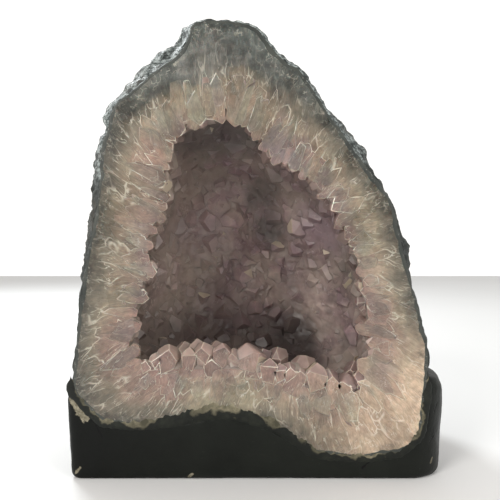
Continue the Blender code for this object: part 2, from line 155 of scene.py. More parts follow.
# Crystals: their form and their rows. Section rows are (count, share of the crust's width at
# which they start, radius), and rim rows are (count, depth behind the cut, radius)
CRYSTAL_SEED = 11
FACE_SLOPE = math.radians(52)
FLATTENING = (0.72, 1.0)
MAJOR_FACE = (-0.2, 0.1)
MINOR_FACE = (0.0, 0.4)
WALL_TRIES = 16000
WALL_RADIUS = (2.8, 11.5)
WALL_REACH = (1.3, 1.68)
WALL_ROOT = 1.1
WALL_BLUNT = 1.6
WALL_LEAN = 0.15
WALL_CUT_DEPTH = 18.0
SECTION_ROWS = [(34, 0.28, 4.6), (44, 0.42, 4.4), (30, 0.5, 7.0), (54, 0.62, 4.8)]
RIM_ROWS = [(52, 5.0, 6.2), (46, 11.0, 7.2), (40, 19.0, 8.0)]
EDGE_REACH = (0.5, 6.0)
LIP_REACH = (-6.0, 0.5)
SECTION_STEP = 0.16
SECTION_LENGTH = 34.0
RIM_LENGTH = 9.0
LIP_LENGTH = 20.0
LIP_LEAN = -0.28
WORN_POINTS = (0.0, 0.16, 0.3)
RIM_RIDGE = 0.12
LIP_RIDGE = 0.15
SINK_DEPTH = 0.26
FULL_RISE = 15.0

# Width of the crust, and how much of a crystal lies outside the cavity
DEEP_CRUST = (30.0, 3.0)
RIM_CRUST = (30.0, 9.0)
LIP_CRUST = (30.0, 12.0)
OUTLINE_WIDTH = (0.2, 0.48)
SMALLEST_EDGE = 0.12

# Crystals that stand on the cavity's lower lip, as (x, z of the point, y, radius, roundness)
LIP_CRYSTALS = [
    (-59, 66, 2, 5.4, 0), (-52.5, 69, 2, 5.6, 0), (-45.5, 73, 2.5, 8.6, 0), (-39, 74, 9, 7.4, 0),
    (-34, 73, 1.5, 7.4, 0), (-32, 76, 9, 7.0, 0), (-26.5, 75.5, 3, 8.0, 0), (-21, 75, 10, 7.0, 0),
    (-16.5, 74.5, 2, 7.4, 0.25), (-10, 72, 2.5, 7.6, 0), (-3, 76, 4, 12.5, 0.36), (6, 70.5, 11, 8.6, 0),
    (8.5, 66.5, 2, 7.6, 0), (13, 70, 12, 7.4, 0), (14, 64.5, 2, 6.6, 0), (19.5, 64, 3, 7.2, 0),
    (25, 61.5, 2, 6.6, 0), (28, 67, 10, 8.6, 0), (35, 63.5, 3, 9.4, 0), (43, 60, 2.5, 9.4, 0),
    (51, 58, 3, 8.8, 0.15), (56, 63, 10, 7.4, 0), (60, 62, 3, 7.4, 0),
]

# Tinted places of the cut, as ((x, z), radius, colour, share)
TINTS = [
    ((-57, 171), 17, (0.235, 0.14, 0.112), 0.6),
    ((-57, 78), 15, (0.27, 0.165, 0.13), 0.5),
    ((12, 176), 22, (0.225, 0.162, 0.162), 0.6),
    ((40, 150), 16, (0.21, 0.155, 0.15), 0.4),
    ((-36, 66), 19, (0.29, 0.195, 0.163), 0.75),
    ((-6, 68), 19, (0.31, 0.215, 0.182), 0.75),
    ((24, 60), 17, (0.34, 0.235, 0.19), 0.7),
    ((48, 52), 14, (0.38, 0.26, 0.2), 0.6),
    ((-22, 228), 22, (0.14, 0.136, 0.122), 0.7),
    ((-8, 208), 16, (0.25, 0.185, 0.13), 0.4),
    ((-30, 43), 16, (0.32, 0.275, 0.19), 0.6),
    ((-5, 44), 15, (0.32, 0.275, 0.19), 0.6),
]

# The lighter lower right corner of the cavity, as (x, z) and radius
LIGHT_CORNER = ((54, 76), 24)

# Tinted places inside the cavity, as ((x, z), radius, colour, share)
CAVITY_TINTS = [
    ((4, 161), 15, (0.105, 0.098, 0.096), 0.5),
    ((9, 141), 16, (0.105, 0.098, 0.096), 0.5),
    ((-33, 140), 22, (0.34, 0.255, 0.275), 0.4),
    ((-16, 90), 24, (0.3, 0.21, 0.215), 0.4),
    ((42, 138), 20, (0.33, 0.24, 0.275), 0.5),
    ((-20, 172), 18, (0.25, 0.215, 0.175), 0.4),
]

# Foot
FOOT_VOXEL = 1.25
FOOT_SMOOTHING = 8
SMEAR_LENGTH = 620
SMEAR_TOP = 57.0
SMEAR_LIFT = 0.36
SMEAR_BACK = 0.12

# Places across the smear, from the quartz to the foot, with how far each is lifted
SMEAR_PROFILE = [(0.0, 0.0), (0.2, 0.6), (0.4, 0.9), (0.6, 1.0), (0.85, 0.4), (1.0, -3.0)]

# Where the paint climbs over the quartz: middle, half width and height
PAINT_CLIMB = (-18.0, 38.0, 4.8)

# Chips and cracks in the foot's paint, as ((x, z) from, (x, z) to, half width)
FOOT_CHIPS = [
    ((-99, 42.5), (-91.5, 33.5), 2.3),
    ((-97, 3.5), (-94.5, 6.5), 0.8),
    ((-35.5, 1.2), (-33.5, 3.2), 0.8),
    ((97.5, 8), (98.5, 10.5), 0.5),
]
FOOT_CRACKS = [
    ((-85.5, 29.5), (-82, 22.5), 0.6),
    ((59, 6.5), (64.5, 11), 0.7),
    ((99, 36), (101.5, 41), 0.4),
    ((97, 20), (99.5, 23), 0.4),
]

# Colours of the rock, of the quartz and of the foot. Ramps are (place, colour) stops
ROCK_TONES = [(0.3, (0.018, 0.022, 0.02)), (0.48, (0.036, 0.042, 0.038)), (0.7, (0.085, 0.094, 0.088))]
# Painted highlight: the rock's upper broken ledges are painted pale where light from behind would catch
# them
LIT_LEDGE_TONES = [(0.42, (0.028, 0.034, 0.033)), (0.5, (0.14, 0.165, 0.16)), (0.61, (0.58, 0.64, 0.63))]
ROCK_GRAINS = (0.17, 0.19, 0.185)
EARTH = (0.115, 0.098, 0.075)
SAWN_TONES = [(0.3, (0.02, 0.024, 0.021)), (0.7, (0.06, 0.065, 0.055))]
SAWN_GRAINS = (0.22, 0.22, 0.2)
QUARTZ_ZONES = [
    (0.0, (0.078, 0.071, 0.056)), (0.1, (0.102, 0.089, 0.068)), (0.28, (0.165, 0.141, 0.106)),
    (0.55, (0.250, 0.197, 0.144)), (0.85, (0.240, 0.178, 0.138)), (1.0, (0.180, 0.125, 0.108)),
]
COLD_QUARTZ = (0.082, 0.09, 0.083)
PALE_QUARTZ = (0.55, 0.41, 0.295)
BLUSH = (0.27, 0.165, 0.14)
OLIVE = (0.25, 0.222, 0.15)
VEIN = (0.62, 0.58, 0.48)
BRIGHT_VEIN = (1.0, 0.92, 0.8)
OUTLINE_TONES = [(0.4, (0.27, 0.22, 0.17)), (0.5, (0.38, 0.325, 0.255)), (0.62, (0.72, 0.66, 0.55))]
PALE_OUTLINE = (0.8, 0.7, 0.56)
MURK = (0.15, 0.135, 0.125)
WARM_LEFT = (0.42, 0.335, 0.265)
FLOOR_GLOOM = (0.045, 0.035, 0.032)
ROOF_GLOOM = (0.055, 0.055, 0.056)
VEIL = (0.6, 0.5, 0.42)
GLINT = (0.68, 0.58, 0.42)
PAINT_TONES = [(0.3, (0.006, 0.0072, 0.0058)), (0.7, (0.011, 0.0128, 0.0102))]
PAINT_SPECKLE = (0.04, 0.044, 0.037)
CEMENT_TONES = [(0.35, (0.10, 0.09, 0.06)), (0.65, (0.30, 0.27, 0.2))]
SMEAR_DARK = [(0.5, (0.008, 0.0095, 0.0075)), (0.72, (0.018, 0.0205, 0.0145))]
SMEAR_PALE = [(0.35, (0.06, 0.056, 0.036)), (0.5, (0.15, 0.135, 0.09)), (0.65, (0.32, 0.28, 0.19))]

# Crystal materials, as (name, pale, deep, transmission, far, high): far is painted shade that makes them
# so much as light 14 mm behind the cut, high is painted light in the cavity's upper half
CRYSTAL_KINDS = [
    ("amethyst_wall", (0.46, 0.37, 0.325), (0.31, 0.208, 0.222), 0.0, 1.0, 1.3),
    ("amethyst", (0.52, 0.43, 0.37), (0.36, 0.245, 0.265), 0.12, 1.0, 1.3),
    ("pale_amethyst", (0.42, 0.3, 0.262), (0.36, 0.228, 0.243), 0.25, 0.62, 1.0),
]
QUARTZ_IOR = 1.54
NOISE_RANGE = (0.3, 0.7)

# Camera, floor and room: the room's glow is from and to a place in depth, and its two strengths
LENS = 40.0
SENSOR_WIDTH = 36.0
CAMERA_DISTANCE = 302.0
CAMERA_HEIGHT = 125.0
CAMERA_SIDEWAYS = -2.0
FLOOR_HALF = 2.3
FLOOR_TONES = [(0.0, (0.82, 0.82, 0.82)), (1.0, (0.86, 0.86, 0.86))]
ROOM_COLOUR = (1.0, 0.985, 0.96)
ROOM_GLOW = (-0.6, 0.8, 0.28, 1.15)

# Lamps, as (name, place, diameter, watts, colour), and what they point at
LIGHT_TARGET = (0, 0, 0.12)
LIGHTS = [
    ("key", (-0.8, -1.0, 0.75), 0.6, 12.0, (1.0, 0.97, 0.93)),
    ("fill", (0.95, -0.95, 0.6), 0.7, 7.0, (1.0, 0.98, 0.95)),
    ("back", (-0.7, 0.9, 1.1), 0.5, 13.5, (0.93, 0.98, 1.0)),
]


def ease(low, high, value):
    """The same rise as smooth_step for one plain number, which is quicker."""
    share = min(1.0, max(0.0, (value - low) / (high - low)))
    return share * share * (3.0 - 2.0 * share)


def smooth_step(low, high, value):
    """0 below low, 1 above high and an eased rise between them."""
    share = np.clip((value - low) / (high - low), 0.0, 1.0)
    return share * share * (3.0 - 2.0 * share)


def layered(place, layers):
    """The sum of layers of noise at a place."""
    total = 0.0
    for height, size, *offset in layers:
        total += height * noise.noise(place / size + Vector(offset or (0, 0, 0)))
    return total


def closed_curve(points, count):
    """count points at equal steps along a smooth closed curve through the given points."""
    fine = []
    steps = 24
    total = len(points)
    for i in range(total):
        a, b, c, d = (np.array(points[(i + k - 1) % total], float) for k in range(4))
        for s in range(steps):
            t = s / steps
            curve = 2 * b + (c - a) * t + (2 * a - 5 * b + 4 * c - d) * t**2
            fine.append(0.5 * (curve + (3 * b - a - 3 * c + d) * t**3))
    fine = np.array(fine)
    ring = np.vstack([fine, fine[:1]])
    along = np.concatenate([[0], np.cumsum(np.linalg.norm(np.diff(ring, axis=0), axis=1))])
    wanted = np.linspace(0, along[-1], count, endpoint=False)
    return np.stack([np.interp(wanted, along, ring[:, k]) for k in (0, 1)], axis=1)


def outward(ring):
    """Unit normals of a clockwise ring of (x, z) points, pointing out of it."""
    along = np.roll(ring, -1, axis=0) - np.roll(ring, 1, axis=0)
    normal = np.stack([-along[:, 1], along[:, 0]], axis=1)
    return normal / np.linalg.norm(normal, axis=1)[:, None]


def grid_normals(rows):
    """Unit normals of a closed band of rows x columns points, pointing away from its axis."""
    around = np.roll(rows, -1, axis=1) - np.roll(rows, 1, axis=1)
    back = np.gradient(rows, axis=0)
    normal = np.cross(around, back)
    normal /= np.linalg.norm(normal, axis=2)[..., None]
    middle = rows.mean(axis=1, keepdims=True)
    if ((rows - middle) * normal).sum() < 0:
        normal = -normal
    return normal


def softened(edge):
    """The edge with its bumps smoothed out and its size kept."""
    soft = edge.copy()
    for _ in range(len(edge) ** 2 // 60):
        soft = (np.roll(soft, 1, axis=0) + 2 * soft + np.roll(soft, -1, axis=0)) / 4
    middle = edge.mean(axis=0)
    size = np.linalg.norm(edge - middle, axis=1).mean() / np.linalg.norm(soft - middle, axis=1).mean()
    return middle + (soft - middle) * size


def bowl(edge, front, back, depth, angles, flare, flare_depth):
    """Rows of a rounded hollow or boss whose rim is edge and whose pole lies at depth.

    front and back are the rim's and the pole's middles. Each angle from 0 to 90 degrees is
    one row, and flare widens each column by so much at flare_depth. The bumps of the rim
    fade with depth."""
    rows = []
    soft = softened(edge)
    for angle in angles:
        y = depth * math.sin(angle) ** BACK_FULLNESS
        scale = max(math.cos(angle), 0.0) ** SIDE_FULLNESS
        share = y / depth
        middle = np.array(front) * (1 - share) + np.array(back) * share
        fade = smooth_step(0, SOFT_DEPTH, y)
        ring = middle + (edge * (1 - fade) + soft * fade - front) * scale
        ring = ring + outward(edge) * (flare * smooth_step(0, flare_depth, y) * scale)[:, None]
        rows.append(np.stack([ring[:, 0], np.full(len(ring), y), ring[:, 1]], axis=1))
    return np.array(rows)


def rock_flare(edge):
    """How far the rock swells behind the cut: most at its shoulders, least underneath."""
    normal = outward(edge)
    start, rise = UPPER_PART
    least, more = LEAST_FLARE
    for towards, narrow, most in SHOULDERS:
        more = more + most * np.clip(normal @ np.array(towards), 0, 1) ** narrow
    return least + np.clip((edge[:, 1] - start) / rise, 0, 1) * more


def rock_rows(columns, count):
    """count rows of the rock's smooth form, and their normals."""
    edge = closed_curve(ROCK_EDGE, columns)
    angles = np.linspace(0, math.radians(84), count)
    rows = bowl(
        edge, ROCK_FRONT_CENTRE, ROCK_BACK_CENTRE, ROCK_DEPTH, angles, rock_flare(edge), FLARE_DEPTH
    )
    return rows, grid_normals(rows)


def roughness_at(place):
    """How far the rock's skin stands out at a point: broad lumps, knobs and broken ledges."""
    knobs = 0.45 - noise.voronoi(place / KNOB_SIZE)[0][0]
    ledge = noise.noise(Vector((place.x / 30, place.y / 30, place.z / 9)))
    amount = layered(place, ROCK_LUMPS) + KNOB_HEIGHT * knobs + LEDGE_HEIGHT * ledge
    fade = EDGE_ROUGHNESS + (1 - EDGE_ROUGHNESS) * ease(0, ROUGH_FROM, place.y)
    bulge = 0.0
    for x, y, z, radius, height in ROCK_BULGES:
        away = (place - Vector((x, y, z))).length
        bulge += height * math.exp(-((away / radius) ** 2)) * ease(0, y, place.y)
    return max(amount, DEEPEST_DENT) * fade + bulge


def grain_at(place):
    """The rock's fine relief: small lumps, sharp grains and pits left by gas bubbles."""
    lumps = layered(place, ROCK_GRAIN)
    crags = 1.3 * (0.4 - abs(noise.noise(place / 5.2 + Vector((1, 8, 3)))))
    hole = noise.voronoi(place / 6.5 + Vector((4, 4, 4)))[0][0]
    pit = -1.5 * max(0.0, 0.3 - hole) / 0.3
    ledge = 1.6 * noise.noise(Vector((place.x / 9, place.y / 5, place.z / 6)))
    fade = 0.5 + 0.5 * ease(0, 5, place.y)
    return (lumps + crags + pit + ledge - 0.3) * fade


def row_frame(points):
    """Millimetres in the cut face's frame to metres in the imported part's frame."""
    return np.asarray(points, float) * MM + np.array([SIDEWAYS, FRONT, 0.0])


def link(name, data):
    """A new object in the scene."""
    made = bpy.data.objects.new(name, data)
    bpy.context.scene.collection.objects.link(made)
    return made


def finished(name, points, faces, materials, numbers, values):
    """An object from points in millimetres, its faces pointing out.

    numbers holds each face's material. values holds lists of one value or vector for each
    point, which become attributes."""
    mesh = bpy.data.meshes.new(name)
    mesh.from_pydata(row_frame(points).tolist(), [], faces)
    for material in materials:
        mesh.materials.append(material)
    mesh.polygons.foreach_set("material_index", numbers)
    for value_name, value in values.items():
        value = np.asarray(value, float)
        wide = value.ndim == 2
        attribute = mesh.attributes.new(value_name, "FLOAT_VECTOR" if wide else "FLOAT", "POINT")
        attribute.data.foreach_set("vector" if wide else "value", value.ravel())
    work = bmesh.new()
    work.from_mesh(mesh)
    bmesh.ops.recalc_face_normals(work, faces=work.faces)
    work.to_mesh(mesh)
    work.free()
    return link(name, mesh)


class Shape:
    """Points, faces and per-point values of one mesh while it is put together."""

    def __init__(self):
        self.points = []
        self.faces = []
        self.materials = []
        self.values = {}
        self.count = 0

    def add(self, points, **values):
        """Adds points with their values, and returns their numbers."""
        points = np.asarray(points, float)
        start = self.count
        self.points.append(points)
        self.count += len(points)
        for name, value in values.items():
            self.values.setdefault(name, []).append((start, np.asarray(value, float)))
        return np.arange(start, self.count)

    def bands(self, rings, material=0, is_open=False):
        """Quads from each ring to the next. The rings have as many points, and are closed or open."""
        for one, other in zip(rings, rings[1:]):
            quads = np.stack([one, np.roll(one, -1), np.roll(other, -1), other], axis=1).tolist()
            if is_open:
                quads.pop()
            self.faces += quads
            self.materials += [material] * len(quads)

    def close(self, ring, end, material=0, **values):
        """Triangles from a closed ring to a new point."""
        number = int(self.add([end], **values)[0])
        self.faces += [(int(a), int(b), number) for a, b in zip(ring, np.roll(ring, -1))]
        self.materials += [material] * len(ring)

    def build(self, name, materials):
        """The finished object, shaded smooth but for its sharp edges."""
        values = {}
        for value_name, parts in self.values.items():
            whole = np.zeros((self.count, 3) if parts[0][1].ndim == 2 else self.count)
            for start, part in parts:
                whole[start : start + len(part)] = part
            values[value_name] = whole
        points = np.concatenate(self.points)
        made = finished(name, points, self.faces, materials, self.materials, values)
        made.data.polygons.foreach_set("use_smooth", [True] * len(made.data.polygons))
        made.data.set_sharp_from_angle(angle=SHARP_ANGLE)
        return made


def rim_thickness(edge):
    """The rind's thickness along the cut, thinner and thicker by turns."""
    return np.array([RIND_FRONT + layered(Vector((x, z, 0)), RIND_LAYERS) for x, z in edge])


def inner_edge(columns):
    """Where the rock meets the quartz on the cut face, as (x, z)."""
    edge = closed_curve(ROCK_EDGE, columns)
    return edge - outward(edge) * rim_thickness(edge)[:, None]


def inner_rows(columns):
    """The rock's smooth form, set in by the rind's thickness, from the cut backwards."""
    rows, normals = rock_rows(columns, INNER_ROWS)
    thickness = RIND_FRONT + (RIND_BACK - RIND_FRONT) * smooth_step(0, 50, rows[..., 1])
    rows = rows - normals * thickness[..., None]
    edge = inner_edge(columns)
    rows[0] = np.stack([edge[:, 0], np.zeros(columns), edge[:, 1]], axis=1)
    return rows


def make_rock(materials):
    """The rough rock shell with its broken rim around the cut."""
    shape = Shape()
    rows, normals = rock_rows(ROCK_COLUMNS, ROCK_ROWS)
    for row, normal in zip(rows, normals):
        for point, direction in zip(row, normal):
            place = Vector(point)
            in_plane = direction * IN_PLANE if point[1] == 0 else direction
            point += in_plane * (roughness_at(place) + grain_at(place))
    rows[0][:, 1] = [SAWN_WAVES * max(0.0, noise.noise(Vector(p) / 3.5) + 0.25) for p in rows[0]]
    pole = np.array([ROCK_BACK_CENTRE[0], rows[-1][:, 1].mean() + 1.5, ROCK_BACK_CENTRE[1]])
    outer = [shape.add(row) for row in rows]
    shape.bands(outer)
    shape.close(outer[-1], pole)

    inside = inner_rows(ROCK_COLUMNS)
    rim = rows[0] * IN_PLANE
    sawn = [shape.add(rim * (1 - s) + inside[0] * s) for s in SAWN_RINGS]
    inner = [shape.add(row) for row in inside]
    # The outer band of the sawn face has the rock's material, so the painted highlight of the upper
    # ledges runs along the edge of the cut
    shape.bands([outer[0], sawn[0]])
    shape.bands([*sawn, inner[0]], 1)
    shape.bands(inner)
    shape.close(inner[-1], inside[-1].mean(axis=0) + np.array([0, 0.5, 0]))
    return shape.build("rock", materials)


class Cavity:
    """The cavity's wall, which can be read at any (radius, share) of a round chart.

    radius is 1 at the cavity's edge and 0 at its deepest point, share runs from 0 to 1
    around it, and equal small steps on the chart are about equal on the wall."""

    def __init__(self, columns, count):
        edge = closed_curve(CAVITY_EDGE, columns)
        flare = np.full(len(edge), CAVITY_FLARE)
        angles = np.linspace(0, math.radians(89), count)
        rows = bowl(
            edge, CAVITY_CENTRE, CAVITY_BACK_CENTRE, CAVITY_DEPTH, angles, flare, CAVITY_FLARE_DEPTH
        )
        inward = -grid_normals(rows)
        rise = np.zeros(rows.shape[:2])
        for x, y, z, radius, height in SWELLINGS:
            away = np.linalg.norm(rows - np.array([x, y, z]), axis=2)
            rise += height * np.exp(-((away / radius) ** 2))
        rise[0] = 0
        self.rise = rise
        self.rows = rows + inward * rise[..., None]
        self.rows[1:, :, 1] = np.maximum(self.rows[1:, :, 1], 0.8)
        self.inward = -grid_normals(self.rows)
        self.inward[0, :, 1] = 0
        self.inward[0] /= np.linalg.norm(self.inward[0], axis=1)[:, None]
        around = np.linalg.norm(np.roll(rows, 1, axis=1) - rows, axis=2).sum(axis=1)
        step = np.linalg.norm(np.diff(rows, axis=0), axis=2).mean(axis=1)
        mean_radius = (around[1:] + around[:-1]) / (4 * math.pi)
        fall = np.concatenate([[0], np.cumsum(step / mean_radius)])
        self.radii = np.exp(-fall)

    def weights(self, radius, share):
        """The four grid points round a place on the chart, each with its share."""
        count, columns = self.rows.shape[:2]
        row = np.interp(-radius, -self.radii, np.arange(count))
        column = (share % 1.0) * columns
        j, i = int(min(row, count - 2)), int(column) % columns
        v, u = row - j, column - int(column)
        k = (i + 1) % columns
        weights = [(j, i, (1 - v) * (1 - u)), (j, k, (1 - v) * u)]
        return weights + [(j + 1, i, v * (1 - u)), (j + 1, k, v * u)]

    def read(self, radius, share):
        """The wall's point and its direction into the cavity at a place on the chart."""
        weights = self.weights(radius, share)
        point = sum(self.rows[a, b] * w for a, b, w in weights)
        inward = sum(self.inward[a, b] * w for a, b, w in weights)
        return point, inward / np.linalg.norm(inward)

    def swelling(self, radius, share):
        """From 0 in a hollow of the wall to 1 on top of a swelling."""
        rise = sum(self.rise[a, b] * w for a, b, w in self.weights(radius, share))
        return min(1.0, rise / FULL_RISE)


def make_crust(materials, cavity):
    """The crust's body: its flat cut face, its hidden outside and the wall of its cavity.

    On the cut, the value ring holds the place along and across the ring in millimetres,
    wrapped round a cylinder so that it has no seam, and to_rock and to_hole hold the
    distances from the rock and from the cavity."""
    shape = Shape()
    columns = CRUST_COLUMNS
    outside = inner_rows(columns)
    hidden = [shape.add(row) for row in outside[1:]]
    edge = cavity.rows[0]
    start = outside[0]
    girth = np.linalg.norm(np.roll(start, 1, axis=0) - start, axis=1).sum()
    girth += np.linalg.norm(np.roll(edge, 1, axis=0) - edge, axis=1).sum()
    radius = girth / 2 / (2 * math.pi)
    turn = 2 * math.pi * np.arange(columns) / columns
    rings = []
    for share in np.linspace(0, 1, CUT_ROWS) ** 0.9:
        ring = start * (1 - share) + edge * share
        to_rock = np.linalg.norm(ring - start, axis=1)
        to_hole = np.linalg.norm(ring - edge, axis=1)
        place = np.stack([radius * np.cos(turn), radius * np.sin(turn), to_hole], axis=1)
        drift = np.array([noise.noise(Vector(p) / 9.0) for p in ring])
        sunk = smooth_step(0.22, 0.5, share + 0.3 * drift) * smooth_step(0, 4, to_rock)
        ring[:, 1] = SINK_DEPTH * sunk
        rings.append(shape.add(ring, ring=place, to_rock=to_rock, to_hole=to_hole))
    shape.bands(rings)
    shape.bands([rings[0], *hidden], 1)
    shape.close(hidden[-1], outside[-1].mean(axis=0) + np.array([0, 0.5, 0]), 1)

    wall = []
    for row, inward, rise in zip(cavity.rows[1:], cavity.inward[1:], cavity.rise[1:]):
        bumps = np.array([layered(Vector(p), WALL_BUMPS) for p in row])
        points = row + inward * (0.35 + 0.7 * bumps)[:, None]
        points[:, 1] = np.maximum(points[:, 1], 0.6)
        still = np.full(columns, 0.35)
        # relief sets the wall's painted light on swellings and painted shade in hollows
        relief = np.minimum(1.0, rise / FULL_RISE)
        wall.append(shape.add(points, tone=still, tip=0.2 + 0.2 * bumps, relief=relief))
    shape.bands([rings[-1], *wall], 1)
    deepest = cavity.rows[-1].mean(axis=0)
    shape.close(wall[-1], deepest, 1, tone=[0.35], tip=[0.2], relief=[0.35])
    return shape.build("crust", materials)


class Druse:
    """Six-sided crystals with pointed ends, gathered into one mesh.

    Faces have material 0 where they grew, 1 where the cut went through them and 2 along
    the outline of the cut. The value ring is the place across and along each crystal, tone
    is a number of its own for each, tip runs from 0 at the root to 1, and glint is a number
    of its own for each face."""

    def __init__(self, chance):
        self.chance = chance
        self.points, self.faces, self.materials, self.glint = [], [], [], []
        self.values = {"tone": [], "tip": [], "relief": [], "to_rock": [], "to_hole": [], "ring": []}

    def crystal(
        self, root, axis, radius, reach, blunt, cut_at, crust=DEEP_CRUST, ridge=0.0, worn=0.0, relief=0.5
    ):
        """Adds one crystal from its root to reach along its axis.

        cut_at is how far behind the cut face its section lies, crust is the crust's width
        there and how much of the crystal lies outside the cavity, ridge is the width of the
        pale lines along its edges, worn is how round its point is, as part of radius, and
        relief is how far the wall under it swells into the cavity, which sets its painted light
        on swellings and painted shade in hollows."""
        chance = self.chance
        axis, root = Vector(axis).normalized(), Vector(root)
        side = axis.orthogonal().normalized()
        turn = chance.uniform(0, math.tau)
        across = side * math.cos(turn) + axis.cross(side) * math.sin(turn)
        up = axis.cross(across)
        flatten = chance.uniform(*FLATTENING)
        work = bmesh.new()
        ends = []
        for level, width in ((0.0, 0.8), (reach * 1.3, 1.0)):
            ring = []
            for k in range(6):
                angle = math.tau * k / 6
                out = across * math.cos(angle) + up * math.sin(angle) * flatten
                ring.append(work.verts.new(root + axis * level + out * radius * width))
            ends.append(ring)
        for k in range(6):
            n = (k + 1) % 6
            work.faces.new((ends[0][k], ends[0][n], ends[1][n], ends[1][k]))
        work.faces.new(ends[0][::-1])
        work.faces.new(ends[1])
        summit = root + axis * reach
        major = chance.randrange(2)
        for k in range(6):
            angle = math.tau * (k + 0.5) / 6
            out = across * math.cos(angle) + up * math.sin(angle)
            normal = out * math.sin(FACE_SLOPE) + axis * math.cos(FACE_SLOPE) * blunt
            normal.normalize()
            off = chance.uniform(*(MAJOR_FACE if k % 2 == major else MINOR_FACE))
            self.slice(work, summit + normal * off * radius, normal)
        if worn:
            self.weld(work, radius)
            self.soften(work, work.edges[:], radius * worn, 3, 0)
            # In a copy, the faces that the cut adds come in the same order in each run
            rounded, work = work, work.copy()
            rounded.free()
        if cut_at is not None and min(v.co.y for v in work.verts) < cut_at:
            section = self.slice(work, Vector((0, cut_at, 0)), Vector((0, -1, 0)))
            if section is not None:
                section.material_index = 1
                if not worn:
                    self.weld(work, radius)
                width = min(chance.uniform(*OUTLINE_WIDTH), radius * 0.22)
                edges = [e for f in work.faces if f.material_index == 1 for e in f.edges]
                edges = work.edges[:] if ridge and not worn else list(dict.fromkeys(edges))
                self.soften(work, edges, ridge or width, 1, 2)
        elif ridge and not worn:
            self.weld(work, radius)
            self.soften(work, work.edges[:], ridge, 1, 2)
        tone = chance.random()
        offset = Vector([chance.uniform(0, 400) for _ in range(3)])
        width, outside = crust
        start = len(self.points)
        work.verts.index_update()
        for vert in work.verts:
            local = vert.co - root
            along = local.dot(axis)
            to_hole = max(0.0, outside - along)
            place = Vector((local.dot(across), local.dot(up), along)) + offset
            self.points.append(tuple(vert.co))
            values = {"tone": tone, "tip": along / reach, "relief": relief, "ring": tuple(place)}
            values.update(to_hole=to_hole, to_rock=max(0.0, width - to_hole))
            for name, value in values.items():
                self.values[name].append(value)
        for face in work.faces:
            self.faces.append([start + v.index for v in face.verts])
            self.materials.append(face.material_index)
            self.glint.append(chance.random())
        work.free()

    @staticmethod
    def weld(work, radius):
        """Joins corners that are too close for a bevel."""
        bmesh.ops.remove_doubles(work, verts=work.verts[:], dist=radius * SMALLEST_EDGE)

    @staticmethod
    def soften(work, edges, width, steps, material):
        """Bevels edges. The new faces get the material."""
        form = {"segments": steps, "profile": 0.5, "affect": "EDGES", "clamp_overlap": True}
        bmesh.ops.bevel(work, geom=edges, offset=width, material=material, **form)

    @staticmethod
    def slice(work, place, normal):
        """Cuts away what lies beyond a plane, and returns the face that closes the cut."""
        everything = work.verts[:] + work.edges[:] + work.faces[:]
        result = bmesh.ops.bisect_plane(
            work, geom=everything, dist=1e-4, plane_co=place, plane_no=normal, clear_outer=True
        )
        edges = [e for e in result["geom_cut"] if isinstance(e, bmesh.types.BMEdge)]
        if len(edges) < 3:
            return None
        made = bmesh.ops.contextual_create(work, geom=edges)["faces"]
        return made[0] if made else None

    def build(self, name, materials):
        """The finished object, with its glint for each face."""
        made = finished(name, self.points, self.faces, materials, self.materials, self.values)
        attribute = made.data.attributes.new("glint", "FLOAT", "FACE")
        attribute.data.foreach_set("value", self.glint)
        return made


def lean(direction, amount, chance):
    """The direction, tilted at random."""
    tilt = np.array([chance.gauss(0, amount) for _ in range(3)])
    return np.asarray(direction) + tilt


def make_wall_crystals(materials, cavity):
    """Crystals all over the cavity's wall, the large ones first and small ones between."""
    chance = random.Random(CRYSTAL_SEED)
    druse = Druse(chance)
    low = math.log(cavity.radii[-1])
    places, sizes = np.zeros((0, 3)), np.zeros(0)
    smallest, largest = WALL_RADIUS
    for step in range(WALL_TRIES):
        share = 1 - step / WALL_TRIES
        radius = smallest + (largest - smallest) * share**1.3 * chance.uniform(0.75, 1.1)
        spot = (math.exp(chance.uniform(low, -0.06)), chance.random())
        point, inward = cavity.read(*spot)
        if len(places) and (np.linalg.norm(places - point, axis=1) < 0.5 * (sizes + radius)).any():
            continue
        places = np.vstack([places, point])
        sizes = np.append(sizes, radius)
        reach = radius * chance.uniform(*WALL_REACH)
        root = point - inward * radius * WALL_ROOT
        cut_at = chance.uniform(0.05, SECTION_STEP) if point[1] < WALL_CUT_DEPTH else None
        axis = lean(inward, WALL_LEAN, chance)
        # relief sets the crystal's painted light on swellings and painted shade in hollows
        relief = cavity.swelling(*spot)
        druse.crystal(root, axis, radius, reach, WALL_BLUNT, cut_at, relief=relief)
    return druse.build("cavity_crystals", materials)


def reach_at(inward, edge, chance):
    """How far a crystal of the cavity's edge stands out of it: a little more on the lower lip."""
    is_lip = ease(0.55, 0.85, inward[2]) * (1 - ease(15, 50, edge[0]))
    return chance.uniform(*EDGE_REACH) * (1 - is_lip) + chance.uniform(*LIP_REACH) * is_lip


